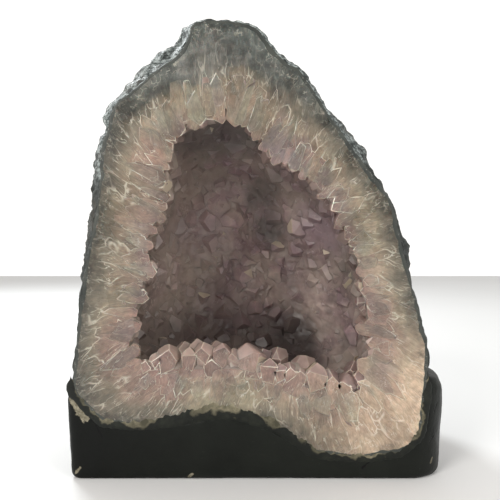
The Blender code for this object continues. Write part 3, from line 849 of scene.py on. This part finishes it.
def make_cut_crystals(materials, cavity):
    """Long crystals that the cut went through lengthways, from the rock to the cavity."""
    chance = random.Random(CRYSTAL_SEED + 1)
    druse = Druse(chance)
    rock = inner_edge(CRUST_COLUMNS)
    for count, start_share, radius in SECTION_ROWS:
        for n in range(count):
            share = (n + chance.uniform(-0.4, 0.4)) / count
            edge, inward = cavity.read(1.0, share)
            x, z = rock[int(share % 1.0 * CRUST_COLUMNS) % CRUST_COLUMNS]
            outer = np.array([x, 0.0, z])
            width = np.linalg.norm(edge - outer)
            direction = lean((edge - outer) / width * 0.6 + inward * 0.4, 0.12, chance) * IN_PLANE
            size = radius * chance.uniform(0.7, 1.3)
            depth = min(width * (1 - start_share), SECTION_LENGTH) * chance.uniform(0.85, 1.15)
            reach = depth + reach_at(inward, edge, chance)
            root = edge - direction * depth + np.array([0, size * chance.uniform(0.7, 0.95), 0])
            axis = direction * reach - np.array([0, size * chance.uniform(0.4, 1.2), 0])
            cut_at = chance.uniform(0.0, SECTION_STEP)
            worn = chance.choice(WORN_POINTS)
            blunt = chance.uniform(0.8, 1.4)
            druse.crystal(root, axis, size, reach, blunt, cut_at, (width, depth), worn=worn)
    return druse.build("cut_crystals", materials)


def make_rim_crystals(materials, cavity):
    """Rows of crystals just behind the cut, all round the cavity's edge."""
    chance = random.Random(CRYSTAL_SEED + 2)
    druse = Druse(chance)
    for count, back, radius in RIM_ROWS:
        for n in range(count):
            share = (n + chance.uniform(-0.5, 0.5)) / count
            edge, inward = cavity.read(1.0, share)
            size = radius * chance.uniform(0.55, 1.35)
            root = edge - inward * RIM_LENGTH + np.array([0, back + chance.uniform(-2.5, 2.5), 0])
            reach = RIM_LENGTH + reach_at(inward, edge, chance)
            axis = lean(inward + np.array([0, 0.1, 0]), 0.16, chance)
            cut_at = chance.uniform(0.05, SECTION_STEP)
            ridge = RIM_RIDGE if back < 8 else 0.0
            druse.crystal(root, axis, size, reach, 1.2, cut_at, RIM_CRUST, ridge)
    for x, z, y, radius, worn in LIP_CRYSTALS:
        axis = Vector((chance.gauss(0, 0.1), LIP_LEAN, 1.0)).normalized()
        root = Vector((x, y, z)) - axis * LIP_LENGTH
        # A relief of 0.62 sets how much painted light the lip crystals get
        druse.crystal(root, axis, radius, LIP_LENGTH, 1.28, 0.03, LIP_CRUST, LIP_RIDGE, worn, 0.62)
    return druse.build("rim_crystals", materials)


def make_smear(materials):
    """A thin, ragged ribbon over the joint between the rock's rim and the foot, in front."""
    edge = closed_curve(ROCK_EDGE, SMEAR_LENGTH * 2)
    normal = outward(edge)
    low = np.where(edge[:, 1] < SMEAR_TOP)[0]
    start = np.where(np.diff(low) > 1)[0][-1] + 1
    low = np.concatenate([low[start:], low[:start]])
    shape = Shape()
    rings = []
    for across, lift in SMEAR_PROFILE:
        points = []
        for n in low:
            x, z = edge[n]
            ends = ease(SMEAR_TOP, SMEAR_TOP - 7, z)
            ragged = layered(Vector((x, z, 0)), SMEAR_INSIDE)
            drag = layered(Vector((x, z, 0)), SMEAR_OUTSIDE)
            climb = PAINT_CLIMB[2] * math.exp(-(((x - PAINT_CLIMB[0]) / PAINT_CLIMB[1]) ** 2))
            inner = -(RIND_FRONT + 0.5 + climb + 1.2 * ragged) * ends
            outer = max(2.2, 2.5 + 1.3 * drag) * ends
            place = edge[n] + normal[n] * (inner * (1 - across) + outer * across)
            wave = 0.6 + 0.8 * noise.noise(Vector((x / 2.5, z / 2.5, 9 + 3 * across)))
            points.append((place[0], SMEAR_BACK - SMEAR_LIFT * lift * max(wave, 0.45), place[1]))
        rings.append(shape.add(points, across=np.full(len(low), across)))
    shape.bands(rings, is_open=True)
    return shape.build("smear", materials)


def make_foot(materials):
    """The cement foot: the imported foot's form with soft waves and grain in its paint."""
    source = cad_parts["cement_foot"]
    foot = link("foot", source.data.copy())
    remesh = foot.modifiers.new("even_mesh", "REMESH")
    remesh.mode = "VOXEL"
    remesh.voxel_size = FOOT_VOXEL * MM
    smooth = foot.modifiers.new("worn", "SMOOTH")
    smooth.factor = 0.5
    smooth.iterations = FOOT_SMOOTHING
    graph = bpy.context.evaluated_depsgraph_get()
    mesh = bpy.data.meshes.new_from_object(foot.evaluated_get(graph))
    foot.modifiers.clear()
    foot.data = mesh
    points, normals = np.zeros(3 * len(mesh.vertices)), np.zeros(3 * len(mesh.vertices))
    mesh.vertices.foreach_get("co", points)
    mesh.vertex_normals.foreach_get("vector", normals)
    depth = np.zeros(len(mesh.vertices))
    for n, point in enumerate(points.reshape(-1, 3) / MM):
        place = Vector(point)
        depth[n] = (0.25 + layered(place, FOOT_LAYERS)) * ease(0.6, 3.0, place.z) * MM
    points -= normals * np.repeat(depth, 3)
    mesh.vertices.foreach_set("co", points)
    mesh.materials.clear()
    for material in materials:
        mesh.materials.append(material)
    mesh.polygons.foreach_set("use_smooth", [True] * len(mesh.polygons))
    return foot


def grey(value):
    return (value, value, value)


def front_point(point):
    """A point (x, z) of the front in the part's frame, with its depth left out."""
    return row_frame([(point[0], 0, point[1])])[0] * (1, 0, 1)


class Recipe:
    """A Principled material, put together node by node.

    What a method takes may be a socket, a number, a vector, a colour, or a tuple that starts
    with a socket, which stands for spread of what is in it."""

    def __init__(self, name, **sockets):
        self.material = bpy.data.materials.new(name)
        self.material.use_nodes = True
        self.tree = self.material.node_tree
        self.shader = self.tree.nodes["Principled BSDF"]
        self.position = self.node("ShaderNodeTexCoord").outputs["Object"]
        self.finish(**sockets)

    def finish(self, **sockets):
        """Sets or links the shader's own sockets, and returns the material."""
        for socket, value in sockets.items():
            self.feed(self.shader.inputs[socket.replace("_", " ")], value)
        return self.material

    def feed(self, socket, value):
        if isinstance(value, tuple) and isinstance(value[0], bpy.types.NodeSocket):
            value = self.spread(*value)
        if isinstance(value, bpy.types.NodeSocket):
            self.tree.links.new(value, socket)
        else:
            socket.default_value = (*value, 1) if socket.type == "RGBA" else value

    def node(self, kind, inputs=None, **settings):
        made = self.tree.nodes.new(kind)
        for setting, value in settings.items():
            setattr(made, setting, value)
        for socket, value in (inputs or {}).items():
            self.feed(made.inputs[socket], value)
        return made

    def value(self, name, output="Fac"):
        """A value that the mesh holds for each point or face."""
        return self.node("ShaderNodeAttribute", attribute_name=name).outputs[output]

    def axis(self, name, vector=None):
        source = self.position if vector is None else vector
        return self.node("ShaderNodeSeparateXYZ", {0: source}).outputs[name]

    def chain(self, operation, *values):
        """The values joined one after another by a math operation."""
        total = values[0]
        for value in values[1:]:
            total = self.node("ShaderNodeMath", {0: total, 1: value}, operation=operation).outputs[0]
        return total

    def times(self, *values):
        return self.chain("MULTIPLY", *values)

    def plus(self, *values):
        return self.chain("ADD", *values)

    def minus(self, one, other):
        return self.chain("SUBTRACT", one, other)

    def largest(self, *values):
        return self.chain("MAXIMUM", *values)

    def off_middle(self, value):
        """How far a noise lies from its middle, which is 0 along thin lines."""
        return self.chain("ABSOLUTE", self.minus(value, 0.5), 0.0)

    def vector_math(self, operation, one, other, output=0):
        inputs = {0: one, 1: other}
        return self.node("ShaderNodeVectorMath", inputs, operation=operation).outputs[output]

    def stretch(self, vector, scale):
        return self.vector_math("MULTIPLY", vector, scale)

    def shift(self, vector, offset):
        return self.vector_math("ADD", vector, offset)

    def moved(self, *offset):
        """The position, moved so that a second noise doesn't repeat the first."""
        return self.shift(self.position, offset)

    def noise(self, scale, detail=3.0, roughness=0.5, at=None, output="Fac"):
        vector = self.position if at is None else at
        inputs = {"Vector": vector, "Scale": scale, "Detail": detail, "Roughness": roughness}
        return self.node("ShaderNodeTexNoise", inputs).outputs[output]

    def cells(self, vector, scale, feature="F1"):
        inputs = {"Vector": vector, "Scale": scale}
        return self.node("ShaderNodeTexVoronoi", inputs, feature=feature).outputs

    def spread(self, value, low, high, to_low=0.0, to_high=1.0):
        """An eased change from to_low at low to to_high at high."""
        limits = zip(("From Min", "From Max", "To Min", "To Max"), (low, high, to_low, to_high))
        inputs = {"Value": value, **dict(limits)}
        return self.node("ShaderNodeMapRange", inputs, interpolation_type="SMOOTHSTEP").outputs[0]

    def swing(self, value, to_low, to_high):
        """A noise, spread from to_low to to_high over the range that it mostly stays in."""
        return self.spread(value, *NOISE_RANGE, to_low, to_high)

    def ramp(self, value, stops):
        made = self.node("ShaderNodeValToRGB", {"Fac": value})
        elements = made.color_ramp.elements
        elements[0].position, elements[0].color = stops[0][0], (*stops[0][1], 1)
        elements[1].position, elements[1].color = stops[-1][0], (*stops[-1][1], 1)
        for place, colour in stops[1:-1]:
            elements.new(place).color = (*colour, 1)
        return made.outputs["Color"]

    def blend(self, share, one, other, kind="MIX"):
        inputs = {"Factor": share, 6: one, 7: other}
        return self.node("ShaderNodeMix", inputs, data_type="RGBA", blend_type=kind).outputs[2]

    def toned(self, colour, *tones):
        """The colour, made lighter or darker by each tone in turn."""
        for tone in tones:
            colour = self.blend(1.0, colour, tone, "MULTIPLY")
        return colour

    def near(self, point, radius, wobble):
        """A mask that is 1 at a point (x, z) of the front and fades out towards radius."""
        radius = radius * MM
        flat = self.stretch(self.position, IN_PLANE)
        away = self.vector_math("DISTANCE", flat, tuple(front_point(point)), 1)
        away = self.plus(away, self.swing(wobble, -0.4 * radius, 0.4 * radius))
        return self.spread(away, radius, 0.3 * radius)

    def tinted(self, colour, tints, wobble, share=1.0):
        """The colour with each tint ((x, z), radius, colour, share) laid over its place."""
        for point, radius, tint, most in tints:
            mask = self.times(self.near(point, radius, wobble), most, share)
            colour = self.blend(mask, colour, tint)
        return colour

    def lower_right(self, most):
        """A mask that rises to most in the lower right of the front, where the quartz is pale."""
        right = self.spread(self.axis("X"), 0.01, 0.075)
        low = self.spread(self.axis("Z"), 0.045, 0.095, 1.0, 0.0)
        return self.times(right, low, most)

    def scar(self, start, end, width):
        """A mask that is 1 on a ragged stroke between two points (x, z) of the front."""
        width = width * MM
        first = front_point(start)
        along = front_point(end) - first
        reach = self.shift(self.stretch(self.position, IN_PLANE), tuple(-first))
        travel = self.vector_math("DOT_PRODUCT", reach, tuple(along), 1)
        inputs = {0: travel, 1: 1.0 / float(along @ along)}
        share = self.node("ShaderNodeMath", inputs, operation="MULTIPLY", use_clamp=True).outputs[0]
        nearest = self.node("ShaderNodeVectorMath", {0: tuple(along), "Scale": share}, operation="SCALE")
        away = self.vector_math("DISTANCE", reach, nearest.outputs[0], 1)
        away = self.plus(away, self.swing(self.noise(330, 3, 0.6), -0.45 * width, 0.45 * width))
        return self.spread(away, width, 0.7 * width)

    def bump(self, height, strength, distance):
        inputs = {"Height": height, "Strength": strength, "Distance": distance}
        return self.node("ShaderNodeBump", inputs).outputs[0]


def rock_material():
    """Dark rock with broad patches, and the broken ledges at the top painted pale as a highlight, most
    near the cut.
    """
    mat = Recipe("rock", Metallic=0.0)
    patches = mat.noise(48, 6, 0.62)
    speckle = mat.noise(520, 3, 0.7)
    ragged = mat.noise(240, 7, 0.72, mat.stretch(mat.position, (1.0, 1.0, 1.6)))
    drift = mat.swing(mat.noise(22, 3, 0.6), -0.5, 0.5)
    colour = mat.ramp(patches, ROCK_TONES)
    colour = mat.toned(colour, (ragged, 0.4, 0.65, 0.72, 1.5))
    # Painted highlight: the ledges are painted paler towards the top of the rock and near the cut
    high = mat.plus((mat.axis("Z"), 0.13, 0.21, -0.3, 1.3), drift)
    near = mat.spread(mat.axis("Y"), FRONT + 0.016, FRONT + 0.042, 1.0, 0.28)
    ledge_highlight = mat.times((high, 0.2, 0.9), near)
    colour = mat.blend(ledge_highlight, colour, mat.ramp(ragged, LIT_LEDGE_TONES))
    colour = mat.blend((speckle, 0.58, 0.74, 0, 0.4), colour, ROCK_GRAINS)
    earth = mat.noise(60, 5, 0.65, mat.moved(0.3, 0.1, 0.2))
    colour = mat.blend((earth, 0.54, 0.7, 0, 0.5), colour, EARTH)
    rough = mat.swing(patches, 0.42, 0.75)
    normal = mat.bump(mat.plus(mat.times(ragged, 1.5), speckle), 1.0, 0.002)
    return mat.finish(Base_Color=colour, Roughness=rough, Normal=normal)


def rim_material():
    """The rock where the saw went through it: smoother, with small pale grains."""
    mat = Recipe("rock_cut", Metallic=0.0, Roughness=0.5)
    colour = mat.ramp(mat.noise(90, 4, 0.6), SAWN_TONES)
    grains = mat.spread(mat.noise(480, 2, 0.6), 0.6, 0.7, 0, 0.5)
    colour = mat.blend(grains, colour, SAWN_GRAINS)
    return mat.finish(Base_Color=colour, Normal=mat.bump(mat.noise(700), 0.4, 0.0005))


def cut_material(name, is_section):
    """The polished quartz: grey and agate-like beside the rock, then long crystal sections."""
    mat = Recipe(name, IOR=QUARTZ_IOR, Subsurface_Weight=0.25, Subsurface_Scale=0.004)
    ring = mat.value("ring", "Vector")
    to_rock, to_hole = mat.value("to_rock"), mat.value("to_hole")
    across = mat.chain("DIVIDE", to_rock, mat.plus(to_rock, to_hole, 0.01))
    side, height = mat.axis("X"), mat.axis("Z")

    clouds = mat.noise(42, 4, 0.55)
    drift = mat.noise(85, 4, 0.65, mat.moved(0.7, 0.2, 0.4))
    mottle = mat.noise(300, 3, 0.6)
    high = mat.spread(height, 0.17, 0.245)
    zone = mat.plus(across, mat.swing(drift, -0.1, 0.12))
    zone = mat.minus(zone, mat.times(high, 0.34))
    if is_section:
        zone = mat.largest(zone, 0.16)
    pale = mat.lower_right(0.7)
    blush = mat.spread(mat.noise(24, 2), 0.5, 0.68, 0.0, 0.6)
    olive = mat.spread(mat.noise(33, 2, at=mat.moved(0.1, 0.6, 0.9)), 0.54, 0.68, 0.0, 0.35)
    body = mat.ramp(zone, QUARTZ_ZONES)
    body = mat.blend(mat.times(high, (zone, 0.3, 0.02)), body, COLD_QUARTZ)
    body = mat.blend(pale, body, PALE_QUARTZ)
    body = mat.blend(mat.times(blush, (across, 0.2, 0.6)), body, BLUSH)
    body = mat.blend(mat.times(olive, (zone, 0.2, 0.4)), body, OLIVE)
    body = mat.tinted(body, TINTS, drift)

    bend = mat.vector_math("SUBTRACT", mat.noise(0.07, 2, at=ring, output="Color"), grey(0.5))
    warped = mat.shift(ring, mat.stretch(bend, (7.0, 7.0, 18.0)))
    streaks = mat.noise(0.7, 3, 0.6, mat.stretch(warped, (1.0, 1.0, 0.11)))
    fibres = mat.noise(1.7, 3, 0.65, mat.stretch(warped, (1.0, 1.0, 0.14)))
    wisps = mat.noise(0.36, 2, 0.5, mat.stretch(warped, (1.0, 1.0, 0.2)))
    veins = mat.off_middle(wisps)
    patchy = mat.spread(mat.noise(0.12, 3, at=ring), 0.42, 0.6)
    tones = [
        mat.swing(streaks, 0.9, 1.1),
        mat.swing(clouds, 0.82, 1.16),
        mat.swing(mottle, 0.88, 1.12),
        (side, -0.085, -0.035, 0.9, 1.0),
        (side, 0.045, 0.075, 1.0, 1.1),
        mat.swing(fibres, 0.86, 1.16),
    ]
    if is_section:
        tones.append((mat.value("tone"), 0.0, 1.0, 0.82, 1.16))
        lines = mat.times((veins, 0.016, 0.0, 0, 0.45), patchy)
    else:
        long_way = mat.stretch(warped, (1.0, 1.0, 0.3))
        cells = mat.cells(long_way, 0.17)["Color"]
        edges = mat.cells(long_way, 0.17, "DISTANCE_TO_EDGE")["Distance"]
        tones.append((mat.axis("X", cells), 0.0, 1.0, 0.88, 1.12))
        lines = mat.largest(
            mat.times((edges, 0.055, 0.0, 0, 0.6), patchy),
            mat.times((veins, 0.015, 0.0, 0, 0.7), patchy),
        )
        lines = mat.times(lines, (zone, 0.02, 0.3, 0.25, 1.0))
    shaken = mat.stretch(mat.noise(160, 3, output="Color"), grey(0.009))
    crackle = mat.cells(mat.shift(mat.position, shaken), 250, "DISTANCE_TO_EDGE")["Distance"]
    crackle = mat.times(
        (crackle, 0.08, 0.0, 0, 0.4),
        (to_rock, 9.0, 3.0),
        (zone, 0.16, -0.04),
        (mottle, 0.45, 0.6),
    )
    blots = mat.spread(mat.noise(110, 5, 0.72), 0.36, 0.64, 0.62, 1.38)
    tones.append(mat.blend((zone, 0.22, 0.0), grey(1.0), blots))
    lines = mat.largest(lines, crackle)
    body = mat.blend(lines, mat.toned(body, *tones), mat.blend(pale, VEIN, BRIGHT_VEIN))
    normal = mat.bump(mat.minus(mat.times(streaks, 0.4), lines), 0.15, 0.0004)
    return mat.finish(Base_Color=body, Roughness=mat.swing(clouds, 0.24, 0.42), Normal=normal)


def outline_material():
    """The edges of crystals on the cut, where light catches them."""
    mat = Recipe("crystal_outline", IOR=QUARTZ_IOR, Subsurface_Weight=0.2, Subsurface_Scale=0.003)
    faint = mat.noise(45, 4, 0.65)
    colour = mat.blend(mat.lower_right(0.9), mat.ramp(faint, OUTLINE_TONES), PALE_OUTLINE)
    return mat.finish(Base_Color=colour, Roughness=mat.swing(faint, 0.35, 0.2))


def crystal_material(name, pale, deep, transmission, far, high):
    """Grown crystal faces: milky near the cut, more purple towards the point, with painted shade
    that makes them far times as light 14 mm behind the cut, painted light that makes them high
    times as light in the cavity's upper half, painted light on the wall's swellings and painted
    shade in its hollows and on the cavity's floor and roof."""
    mat = Recipe(
        name,
        IOR=QUARTZ_IOR,
        Transmission_Weight=transmission,
        Specular_IOR_Level=0.35,
        Subsurface_Weight=0.7,
        Subsurface_Scale=0.006,
        Subsurface_Radius=(1.0, 0.85, 0.85),
    )
    tone, tip, glint, relief = (mat.value(kind) for kind in ("tone", "tip", "glint", "relief"))
    side, depth, height = (mat.axis(kind) for kind in "XYZ")
    clouds = mat.noise(45, 3, 0.6)
    murk = mat.noise(38, 3, 0.6, mat.moved(0.4, 0.7, 0.1))
    share = mat.plus(
        mat.times(tip, 0.2),
        mat.times(tone, 0.15),
        mat.swing(clouds, -0.25, 0.35),
        (depth, FRONT + 0.004, FRONT + 0.05, -0.2, 0.2),
    )
    colour = mat.blend((share, 0.0, 0.9), pale, deep)
    colour = mat.blend((murk, 0.52, 0.66, 0.0, 0.45), colour, MURK)
    colour = mat.blend((side, -0.05, -0.015, 0.4, 0.0), colour, WARM_LEFT)
    colour = mat.toned(
        colour,
        (tone, 0.0, 1.0, 0.94, 1.06),
        (glint, 0.0, 1.0, 0.91, 1.09),
        mat.swing(mat.noise(150, 4, 0.6), 0.86, 1.14),
        # Painted light on the wall's swellings and painted shade in its hollows
        (relief, 0.0, 0.9, 0.6, 1.14),
        mat.plus(1.0, mat.times(mat.near(*LIGHT_CORNER, clouds), 0.55)),
        # Painted shade 14 mm behind the cut, and painted light in the cavity's upper half
        (depth, FRONT + 0.002, FRONT + 0.014, 1.0, far),
        (height, 0.125, 0.165, 1.0, high),
        (side, 0.01, 0.04, 1.0, 0.9),
        (side, -0.045, -0.02, 1.08, 1.0),
    )
    inside = mat.spread(depth, FRONT + 0.02, FRONT + 0.04)
    colour = mat.tinted(colour, CAVITY_TINTS, clouds, inside)
    floor_shade = mat.times(
        (height, 0.066, 0.094, 1.0, 0.0),
        (side, 0.0, 0.018, 0.5, 0.92),
        (side, 0.034, 0.046, 1.0, 0.0),
    )
    roof_shade = mat.spread(height, 0.176, 0.19, 0.0, 0.6)
    behind = mat.spread(depth, FRONT + 0.013, FRONT + 0.03)
    shade = mat.times(mat.largest(floor_shade, roof_shade), behind)
    gloom = mat.blend((height, 0.12, 0.17), FLOOR_GLOOM, ROOF_GLOOM)
    colour = mat.blend(shade, colour, gloom)
    veil = mat.times(
        (mat.off_middle(mat.noise(85, 3, 0.6)), 0.014, 0.0, 0.0, 0.4),
        (clouds, 0.45, 0.6),
        (shade, 0.0, 0.4, 1.0, 0.0),
    )
    colour = mat.blend(veil, colour, VEIL)
    colour = mat.blend((glint, 0.974, 0.978, 0, 0.6), colour, GLINT)
    rough = mat.spread(mat.noise(600, 2, 0.6), 0.35, 0.7, 0.35, 0.6)
    normal = mat.bump(mat.noise(380), 0.12, 0.0004)
    return mat.finish(Base_Color=colour, Roughness=rough, Normal=normal)


def foot_material():
    """Dark satin paint with fine cracks, chipped down to the cement in places, with painted shade
    towards its left end.
    """
    mat = Recipe("foot_paint", Metallic=0.0, Specular_IOR_Level=0.16)
    patches = mat.noise(35, 4, 0.6)
    speckle = mat.noise(420, 3, 0.7)
    colour = mat.ramp(patches, PAINT_TONES)
    colour = mat.blend((speckle, 0.62, 0.75, 0, 0.3), colour, PAINT_SPECKLE)
    # Painted shade: the left end of the foot is darker, against the key light from the left
    colour = mat.toned(colour, (mat.axis("X"), -0.1, -0.03, 0.35, 1.0))
    in_front = mat.spread(mat.axis("Y"), FRONT + 0.003, FRONT + 0.006, 1.0, 0.0)
    chips, cracks = (
        mat.times(mat.largest(*(mat.scar(*stroke) for stroke in strokes)), in_front)
        for strokes in (FOOT_CHIPS, FOOT_CRACKS)
    )
    colour = mat.blend(chips, colour, mat.ramp(speckle, CEMENT_TONES))
    colour = mat.blend(cracks, colour, grey(0.002))
    broken = mat.times(mat.largest(chips, cracks), 2.0)
    normal = mat.bump(mat.minus(mat.plus(speckle, patches), broken), 0.35, 0.0006)
    return mat.finish(Base_Color=colour, Roughness=mat.swing(patches, 0.34, 0.55), Normal=normal)


def smear_material():
    """Paint and cement that were dragged over the joint between foot and rock."""
    mat = Recipe("foot_smear", Metallic=0.0, Specular_IOR_Level=0.25, Roughness=0.5)
    patches = mat.noise(120, 4, 0.6)
    drift = mat.spread(mat.noise(30, 3, 0.6), 0.35, 0.65, -0.4, 0.3)
    across = mat.plus(mat.value("across"), mat.swing(patches, -0.2, 0.2), drift)
    dark, pale = mat.ramp(patches, SMEAR_DARK), mat.ramp(patches, SMEAR_PALE)
    colour = mat.blend((across, 0.2, 0.45), pale, dark)
    return mat.finish(Base_Color=colour, Normal=mat.bump(mat.noise(500), 0.5, 0.0006))


def make_stage():
    """A pale, level floor."""
    mat = Recipe("stage", Roughness=0.8)
    colour = mat.ramp(mat.noise(3, 2), FLOOR_TONES)
    mesh = bpy.data.meshes.new("floor")
    corners = [(-1, -1), (1, -1), (1, 1), (-1, 1)]
    mesh.from_pydata([(x * FLOOR_HALF, y * FLOOR_HALF, 0.0) for x, y in corners], [], [(0, 1, 2, 3)])
    mesh.materials.append(mat.finish(Base_Color=colour))
    floor = link("floor", mesh)


def make_light():
    """A soft room that is brighter behind the part than in front of it."""
    world = bpy.data.worlds.new("studio")
    world.use_nodes = True
    nodes, links = world.node_tree.nodes, world.node_tree.links
    background = nodes["Background"]
    background.inputs["Color"].default_value = (*ROOM_COLOUR, 1)
    split = nodes.new("ShaderNodeSeparateXYZ")
    links.new(nodes.new("ShaderNodeTexCoord").outputs["Generated"], split.inputs[0])
    bright = nodes.new("ShaderNodeMapRange")
    for socket, value in zip(bright.inputs[1:5], ROOM_GLOW):
        socket.default_value = value
    links.new(split.outputs["Y"], bright.inputs["Value"])
    links.new(bright.outputs[0], background.inputs["Strength"])
    bpy.context.scene.world = world
    for name, place, size, energy, colour in LIGHTS:
        light = bpy.data.lights.new(name, "AREA")
        light.shape = "DISK"
        light.size = size
        light.energy = energy
        light.color = colour
        holder = link(name, light)
        holder.location = place
        towards = Vector(LIGHT_TARGET) - Vector(place)
        holder.rotation_euler = towards.to_track_quat("-Z", "Y").to_euler()
    bpy.context.scene.view_settings.view_transform = "Standard"


def make_camera():
    """A level camera in front of the cut, as the photograph's."""
    camera = bpy.data.cameras.new("camera")
    camera.lens = LENS
    camera.sensor_width = SENSOR_WIDTH
    holder = link("camera", camera)
    holder.location = row_frame([(CAMERA_SIDEWAYS, -CAMERA_DISTANCE, CAMERA_HEIGHT)])[0]
    holder.rotation_euler = (math.radians(90), 0, 0)
    bpy.context.scene.camera = holder


def main():
    make_camera()
    make_light()
    make_stage()
    rock, rim = rock_material(), rim_material()
    cut, section = cut_material("quartz_cut", False), cut_material("crystal_section", True)
    outline = outline_material()
    wall, inner, edge = (crystal_material(*kind) for kind in CRYSTAL_KINDS)
    cavity = Cavity(CRUST_COLUMNS, CAVITY_ROWS)
    pieces = [
        (make_rock([rock, rim]), "rock_rind", "rock"),
        (make_crust([cut, wall], cavity), "crystal_crust", "amethyst"),
        (make_wall_crystals([inner, section, outline], cavity), None, "amethyst"),
        (make_cut_crystals([edge, section, outline], cavity), None, "amethyst"),
        (make_rim_crystals([edge, section, outline], cavity), None, "amethyst"),
        (make_foot([foot_material()]), "cement_foot", "cement"),
        (make_smear([smear_material()]), None, "cement"),
    ]
    for piece, node, slot in pieces:
        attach(piece, "root")
        if node:
            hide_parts(node)


main()
